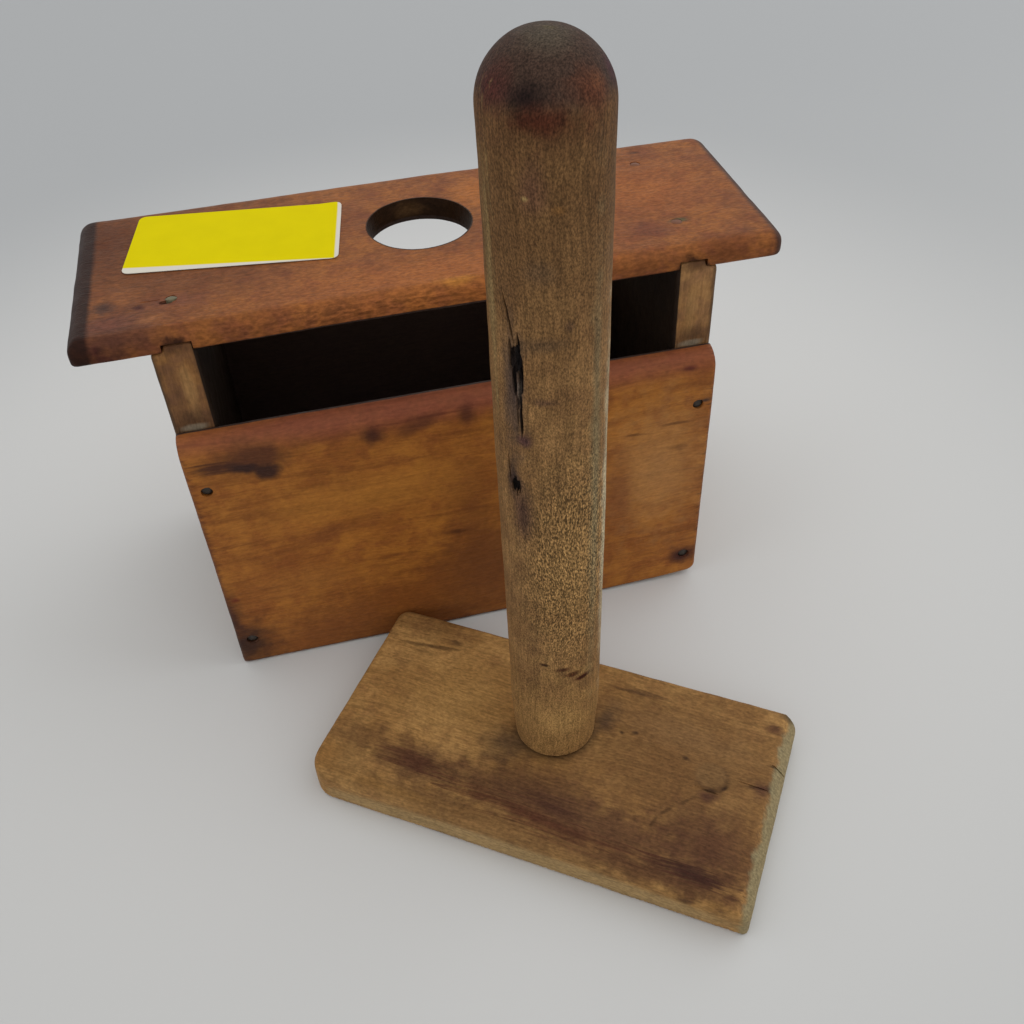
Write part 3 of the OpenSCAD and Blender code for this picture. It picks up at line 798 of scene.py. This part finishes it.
# bare wood that has been scrubbed often, matt and grainy, stained dark along the front
yellow = aged_wood(
    "scrubbed hardwood, yellowish brown", (press_at.x, press_at.y, press_t), (0, 0, PLUNGER_TURN),
    PRESS_YELLOW, haze=0.5, band=0.4, fibre=0.14, fleck=0.2, grit=0.18, grit_size=0.7,
    rough=(0.55, 0.7), shine=0.1,
    stains=[
        stain("a37d48", 0.6, (-30, 6, 0), (26, 20, 9), soft=1),
        stain("6a4a2c", 0.78, (34, 4, 0), (56, 48, 9), -4),
        stain("856440", 0.5, (28, 14, 0), (32, 8, 9), -6),
        stain("6e4c2b", 0.6, (-48, 27, 0), (22, 7, 9), 4),
        stain("64452c", 0.75, (0, -13, 0), (24, 11, 9), -2),
        stain("5c3f2a", 0.82, (-33, -18.6, 0), (21, 9.4, 9), -6, 0.95),
        stain("573a28", 0.85, (8, -19.6, 0), (66, 10.4, 9), -3, 0.8),
        stain("6a4c2e", 0.75, (0, -28, 0), (66, 5, 9), soft=0.6),
        stain("7a5a34", 0.6, (-52, -23, 0), (13, 10, 9)),
        stain("523424", 0.86, (46, -16, 0), (23, 16, 9), -8),
        stain("4a2f20", 0.75, (42, -25.6, 0), (23, 5.6, 9), -2),
        stain("38211a", 0.88, (44, -24.6, 0), (17, 4, 9), -2, kind="lined"),
        stain("452b20", 0.8, (7, -19, 0), (14, 4.6, 9), -5, kind="lined"),
        stain("47241a", 0.7, (8, -23.6, 0), (52, 5, 9), -4, kind="lined"),
        stain("4c2c20", 0.7, (-34, -18, 0), (17, 6, 9), -5, kind="lined"),
        stain("68492c", 0.75, (-51, -15, 0), (13, 7, 9), 4, 1),
        stain("5a3c26", 0.75, (34, -28, 0), (34, 3, 9), -1),
        stain("866337", 0.7, (-38, -28, 0), (24, 2.6, 9), -2),
        # painted shadow of the handle, left of its foot
        stain("4a382b", 0.75, (-11, -4, 0), (12, 8, 9), 20),
        stain("43332a", 0.7, (10.6, 12, 0), (4.4, 8, 9)),
        # painted shadow in a ring round the handle's foot
        stain("3f2d1c", 0.85, (-1.5, 5.2, 0), (13, 13, 9), soft=0.35, kind="clean"),
        stain("4a3320", 0.65, (42.2, 3.7, 0), (5.2, 4.8, 9), soft=0.3, kind="clean"),
        stain("7f5f3b", 0.75, (41.7, 4.2, 0), (4.8, 4.4, 9), soft=0.35, kind="clean"),
        stain("4a2e24", 0.8, (42.4, -2.2, 0), (4.4, 2.4, 9), 8),
        stain("2f1e14", 0.8, (42.8, -0.4, 0), (3.2, 0.8, 9), 8, kind="clean"),
        stain("2f1e14", 0.8, (45.8, 1.2, 0), (2, 0.8, 9), 56, 0.8, "clean"),
        stain("3a2617", 0.6, (37.8, -5.2, 0), (3.6, 0.8, 9), 44, kind="clean"),
        stain("3a2617", 0.6, (33.6, -9.6, 0), (3.4, 0.8, 9), 52, kind="clean"),
        stain("3a2617", 0.55, (31.3, -14, 0), (3, 0.8, 9), 74, kind="clean"),
        stain("2b1b12", 0.8, (56.9, 12.1, 0), (3, 0.8, 9)),
        stain("2b1b12", 0.75, (53.5, 4.4, 0), (4.4, 0.9, 9), 12),
        stain("2b1b12", 0.85, (57.4, 5.2, 0), (2.4, 2, 9)),
        stain("4a2c22", 0.75, (54.6, 24, 0), (3.6, 2.8, 9)),
        stain("4a2c24", 0.7, (55, 4, 0), (4, 4.4, 9)),
        stain("4a3323", 0.7, (16.7, 23.5, 0), (10, 1.8, 9), kind="streaky"),
        stain("4a3420", 0.7, (-45, 19.6, 0), (15, 1.4, 9), 8, kind="streaky"),
        stain("4a3422", 0.75, (-38.5, 23.1, 0), (3.4, 1.6, 9)),
        stain("3a281c", 0.8, (34.3, 7.1, 0), (1.4, 0.9, 9)),
        stain("3a281c", 0.8, (19.7, 10.3, 0), (1.3, 0.9, 9)),
        stain("3a281c", 0.8, (16, 9.2, 0), (1.2, 0.8, 9)),
        stain("8c6436", 0.7, (-57, -24, 0), (7, 8, 9)),
        stain("9a8058", 0.9, (0, -31.4, -6.6), (90, 1.6, 6), soft=0.3, kind="clean"),
        stain("877a5a", 0.9, (60.4, -2, -3), (4.2, 90, 30), soft=0.4),
        stain("4a3c28", 0.8, (57.6, 29.4, 0), (4, 2.6, 6)),
        stain("9a8058", 0.85, (-60.6, 0, -6.6), (1.6, 60, 6), soft=0.3, kind="clean"),
        stain("4a3320", 0.8, (0, 30.9, -1), (90, 1.4, 5)),
    ],
)
place_piece(foot, yellow, "plunger", "press_wood", "press_board")

# Handle
# A round stick turned from one piece, with a domed end gone dark from hands and a slim taper down to the
# press board. Gouges and thin cracks run down its left side, with dark staining round them and painted
# shade inside them. Painted highlights lie along its rims and on the right of its dome.
HANDLE_R = 11.9 * MM
HANDLE_LOW_R = 11.3 * MM
HANDLE_FOOT_R = 10.5 * MM
HANDLE_FOOT_H = 14 * MM
HANDLE_FOOT_EASE = 0.8 * MM
HANDLE_VOXEL = 0.5 * MM
HANDLE_WAVES = ((45 * MM, 0.5 * MM), (9 * MM, 0.22 * MM))
# Each gouge is torn along the grain, as a bundle of splinters. It has an angle round the handle in degrees,
# and a height, a width, a length and a depth in mm.
GOUGES = ((-136.5, 136.5, 2.9, 14, 1.7), (-133.6, 127.5, 0.8, 15, 0.9), (-143.5, 106.6, 2.5, 6.4, 1.5))
SPLINTERS = 7
# Each crack has the same values, and then its lean in degrees.
CRACKS = ((-143.5, 146.2, 0.6, 11, 0.9, 12), (-137, 126.5, 0.4, 9, 0.6, 1), (-150.5, 110.5, 0.5, 7, 0.8, 4))
SPLIT_VOXEL = 0.13 * MM
# How far from the handle's axis its gouges and cracks are cut and its side stains lie, in mm
SPLIT_OUT = 11.75
STAIN_OUT = 11.7
HANDLE_BROWN = ("8d6a42", "7c5b38", "6e5034", "4a3524")

stick_low, stick_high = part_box("handle")
axis_at = middle_of("handle")
dome_z = stick_high.z - HANDLE_R
bpy.ops.object.select_all(action="DESELECT")
bpy.ops.mesh.primitive_uv_sphere_add(segments=96, ring_count=48, radius=HANDLE_R,
                                     location=axis_at + Vector((0, 0, dome_z)))
bpy.ops.object.transform_apply(location=True, rotation=True, scale=True)
stick = bpy.context.object
stick.name = "worn_handle"
pick(stick, "FACE", lambda middle, face: middle.z < dome_z)
bpy.ops.mesh.delete(type="FACE")
bpy.ops.object.mode_set(mode="OBJECT")
pick(stick, "EDGE", lambda middle, edge: edge.is_boundary)
level, wide = dome_z, HANDLE_R
for height, radius in ((stick_low.z + HANDLE_FOOT_H, HANDLE_LOW_R), (stick_low.z + MM, HANDLE_FOOT_R),
                       (stick_low.z, HANDLE_FOOT_R - HANDLE_FOOT_EASE)):
    bpy.ops.mesh.extrude_region_move(TRANSFORM_OT_translate={"value": (0, 0, height - level)})
    bpy.ops.transform.resize(value=(radius / wide, radius / wide, 1),
                             center_override=(axis_at.x, axis_at.y, height))
    level, wide = height, radius
bpy.ops.mesh.edge_face_add()
bpy.ops.mesh.select_all(action="SELECT")
bpy.ops.mesh.normals_make_consistent(inside=False)
bpy.ops.object.mode_set(mode="OBJECT")
wear(stick, HANDLE_VOXEL, HANDLE_WAVES)


def round_side(angle, out, height):
    """A place at an angle in degrees round the handle, so far out from its axis and so high, in mm."""
    turn = math.radians(angle)
    return Vector((out * math.cos(turn), out * math.sin(turn), height))


def split(angle, height, wide, tall, deep, lean=0):
    """A splinter-shaped cutter along the grain of the handle's side, leaning by so many degrees."""
    turn = Matrix.Rotation(math.radians(angle), 4, "Z") @ Matrix.Rotation(math.radians(lean), 4, "X")
    size = Vector((deep, wide / 2, tall / 2)) * MM
    return splinter(axis_at + round_side(angle, SPLIT_OUT, height) * MM, size, turn)


draw = random.Random(3)
torn = [split(*crack) for crack in CRACKS]
for angle, height, wide, tall, deep in GOUGES:
    for _ in range(SPLINTERS):
        torn.append(split(
            angle + draw.uniform(-0.5, 0.5) * math.degrees(wide / SPLIT_OUT),
            height + draw.uniform(-0.25, 0.25) * tall,
            wide * draw.uniform(0.2, 0.4),
            tall * draw.uniform(0.4, 0.75),
            deep * draw.uniform(0.5, 1),
            draw.uniform(-3, 3),
        ))
cut_away(stick, as_one(torn, SPLIT_VOXEL))


def side_stain(colour, strength, angle, height, wide, tall, soft=0.9, kind="cloudy", deep=4, out=STAIN_OUT):
    """A stain on the handle's side, by its angle in degrees and its height and full sizes in mm. deep is how
    far it goes in on either side of its distance out from the axis, in mm too."""
    place = round_side(angle, out, height)
    return stain(colour, strength, place, (deep, wide / 2, tall / 2), angle, soft, kind)


# dry bare wood, matt, speckled with torn fibres on its lower half and dark on its dome
brown = aged_wood(
    "turned hardwood, grey brown, dry", axis_at, (0, 0, 0), HANDLE_BROWN, upright=True, haze=0.45, band=0.3,
    fibre=0.2, fleck=0.3, grit=0.4, grit_size=0.3, torn=(0.62, (2, -9, 82), (14, 12, 44)),
    rough=(0.6, 0.78), shine=0.1,
    stains=[
        stain("5e4228", 0.8, (0, 0, 172), (34, 34, 48), soft=0.8, kind="clean"),
        stain("9a7646", 0.7, (0, 0, 24), (22, 22, 34), soft=0.7),
        stain("a3814f", 0.45, (2, -9, 84), (16, 14, 50)),
        stain("4a2c1e", 0.75, (0, 0, 181), (20, 20, 7)),
        stain("3f2f28", 0.95, (0, 0, 196), (30, 30, 15), soft=0.3, kind="clean"),
        stain("51493d", 0.75, (-0.5, -3, 194.5), (8, 8, 6)),
        stain("4b211c", 0.7, (-10, -4, 187), (6, 8, 6)),
        stain("170a0a", 0.88, (-6.5, -9.8, 187), (6, 4, 4.4)),
        stain("42180f", 0.8, (-3.5, -11, 183.6), (8, 5, 3.6)),
        stain("5c3321", 0.75, (5, -9.5, 186.6), (7, 5, 5.6)),
        # painted highlight on the right of the dome
        stain("74492f", 0.45, (6.6, -9, 188), (2.6, 3, 2.8)),
        stain("40222a", 0.75, (10.2, -4, 188), (4, 5, 4)),
        stain("857a4c", 0.8, (0.5, -1, 196), (3, 2, 3), soft=0.7),
        side_stain("5f3f32", 0.6, -117, 172, 8, 14),
        side_stain("a58a58", 0.6, -123, 170.5, 2, 1.6),
        side_stain("8a6034", 0.6, -95, 168.5, 4, 2.4),
        # painted highlight along the left rim
        side_stain("86704a", 0.7, -168, 150, 6, 80, kind="streaky"),
        side_stain("4a3c36", 0.75, -142, 130, 8, 46),
        side_stain("3c302c", 0.75, -139, 133, 5, 28, kind="streaky"),
        side_stain("2d2225", 0.85, -146, 108, 6, 18),
        side_stain("452f2a", 0.8, -136, 99, 8, 26),
        side_stain("4c3033", 0.8, -131, 119, 5, 5),
        # painted shade: the insides of the gouges and cracks, and the undercut edge of the long gouge, nearly
        # black
        side_stain("1d1716", 0.95, -136, 133, 6, 34, 0.3, "clean", 0.9, 10.6),
        side_stain("0c0808", 0.95, -137, 137, 2.6, 13, 0.7, "streaky"),
        side_stain("0c0808", 0.97, -144, 106.6, 5, 11, 0.25, "clean", 0.9, 10.6),
        side_stain("0e0a0a", 0.97, -144, 147, 6, 14, 0.25, "clean", 0.9, 10.6),
        side_stain("0c0808", 0.9, -133.6, 125, 0.7, 14, 0.6, "clean"),
        side_stain("5f564e", 0.6, -135, 131, 0.8, 6, 0.6, "clean"),
        side_stain("58402e", 0.75, -86, 145.6, 3, 4),
        side_stain("5a4030", 0.75, -111, 129, 8, 3),
        side_stain("54402e", 0.65, -112, 142, 13, 5),
        side_stain("5a4634", 0.5, -112, 157, 10, 8),
        side_stain("2a150d", 0.93, -117, 50, 3.4, 1.6, 0.8),
        side_stain("4a2a1a", 0.9, -94, 48.2, 6, 2.4, 0.8),
        side_stain("3a1a10", 0.93, -82, 45.6, 4.4, 3, 0.8),
        side_stain("3a150c", 0.95, -69, 43.2, 7.4, 2.6, 0.7),
        side_stain("5a3a20", 0.7, -85, 46, 7, 2, 0.8),
        # painted sheen: a grey green band on the right side
        side_stain("6f6c52", 0.55, -54, 100, 5, 170, 1),
        # painted highlight along the right rim
        side_stain("b3a688", 0.85, -27, 90, 7, 130, 0.85),
        side_stain("a98450", 0.55, -95, 27, 30, 20),
    ],
)
place_piece(stick, brown, "plunger", "handle_wood", "handle")

# Handle screw
# One slotted wood screw with a countersunk head, from below, that holds the handle on the press board.
# Plain turned steel, tarnished to a dull grey brown.
TARNISH_SPOT_W = 1.4 * MM
STEEL_BARE = "8b857b"
STEEL_DULL = "4c3f33"

tarnish, tree = empty_material("steel, turned and tarnished")
spot = add(tree, "ShaderNodeTexCoord")["Object"]
bloom = add(tree, "ShaderNodeTexNoise", {"Vector": spot, "Scale": 1 / TARNISH_SPOT_W, "Detail": 4.0})[0]
grey = add(tree, "ShaderNodeMix", {0: bloom, 6: hex_colour(STEEL_BARE), 7: hex_colour(STEEL_DULL)},
           data_type="RGBA")[2]
metal = add(tree, "ShaderNodeBsdfPrincipled", {"Base Color": grey, "Metallic": 0.85, "Roughness": 0.5})
add(tree, "ShaderNodeOutputMaterial", {"Surface": metal[0]})
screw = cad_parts["handle_screw"]
screw.data.materials.clear()
screw.data.materials.append(tarnish)

# Price label
# A yellow paper label, blank, stuck askew on the lid. The print stops short of the lower and right edges,
# so the white paper shows there, and one corner has begun to lift.
LABEL_L = 55 * MM
LABEL_W = 30 * MM
LABEL_T = 0.12 * MM
LABEL_UP = 0.16 * MM
LABEL_TURN = math.radians(-8.5)
LABEL_CORNER = 2 * MM
# Past this sum of X and Y, in mm, the corner lifts by this share of what is over.
LIFT_FROM = 36
LIFT_SLOPE = 0.06
# Where the print ends on the right and below, from bare paper to full ink, in mm. Its lower edge slopes.
PRINT_RIGHT = (26.6, 26.3)
PRINT_LOWER = (-13.7, -13.4)
PRINT_SLOPE = 0.05
INK_CLOUD_W = 8
PAPER_WHITE = "d2ccc0"
INK_YELLOW = "dccb00"
INK_DEEP = "d0c000"

label_middle = middle_of("price_label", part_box("price_label")[0].z)
bpy.ops.object.select_all(action="DESELECT")
bpy.ops.mesh.primitive_grid_add(x_subdivisions=60, y_subdivisions=34, size=1)
label = bpy.context.object
label.name = "paper_label"
label.scale = (LABEL_L, LABEL_W, 1)
bpy.ops.object.transform_apply(location=True, rotation=True, scale=True)
straight_x = LABEL_L / 2 - LABEL_CORNER
straight_y = LABEL_W / 2 - LABEL_CORNER
for vertex in label.data.vertices:
    x, y = vertex.co.x, vertex.co.y
    over = Vector((max(abs(x) - straight_x, 0), max(abs(y) - straight_y, 0)))
    if over.x and over.y and over.length > LABEL_CORNER:
        over = over.normalized() * LABEL_CORNER
        vertex.co.x = math.copysign(straight_x + over.x, x)
        vertex.co.y = math.copysign(straight_y + over.y, y)
    vertex.co.z = max(0, (vertex.co.x + vertex.co.y) / MM - LIFT_FROM) * LIFT_SLOPE * MM
change(label, "SOLIDIFY", thickness=LABEL_T, offset=1)
label.data.transform(Matrix.Translation(label_middle + Vector((0, 0, LABEL_UP)))
                     @ Matrix.Rotation(LABEL_TURN, 4, "Z"))
# flat, bright and slightly uneven ink on off-white paper, with almost no gloss
paper, tree = empty_material("coated paper, printed yellow")
spot = add(tree, "ShaderNodeTexCoord")["Object"]
flat = add(tree, "ShaderNodeMapping", {"Vector": spot, "Location": label_middle,
           "Rotation": (0, 0, LABEL_TURN), "Scale": (MM, MM, MM)}, vector_type="TEXTURE")[0]
across = add(tree, "ShaderNodeSeparateXYZ", {0: flat})
inside = add(tree, "ShaderNodeMapRange", {"Value": across["X"], "From Min": PRINT_RIGHT[0],
             "From Max": PRINT_RIGHT[1]})[0]
askew = add(tree, "ShaderNodeMath", {0: across["X"], 1: PRINT_SLOPE, 2: across["Y"]},
            operation="MULTIPLY_ADD")[0]
above = add(tree, "ShaderNodeMapRange", {"Value": askew, "From Min": PRINT_LOWER[0],
            "From Max": PRINT_LOWER[1]})[0]
ink = add(tree, "ShaderNodeMath", {0: inside, 1: above}, operation="MULTIPLY")[0]
uneven = add(tree, "ShaderNodeTexNoise", {"Vector": flat, "Scale": 1 / INK_CLOUD_W, "Detail": 3.0})[0]
yellows = add(tree, "ShaderNodeMix", {0: uneven, 6: hex_colour(INK_YELLOW), 7: hex_colour(INK_DEEP)},
              data_type="RGBA")[2]
shown = add(tree, "ShaderNodeMix", {0: ink, 6: hex_colour(PAPER_WHITE), 7: yellows}, data_type="RGBA")[2]
sheet = add(tree, "ShaderNodeBsdfPrincipled", {"Base Color": shown, "Roughness": 0.6,
            "Specular IOR Level": 0.02})
add(tree, "ShaderNodeOutputMaterial", {"Surface": sheet[0]})
place_piece(label, paper, "mould", "label_paper", "price_label")
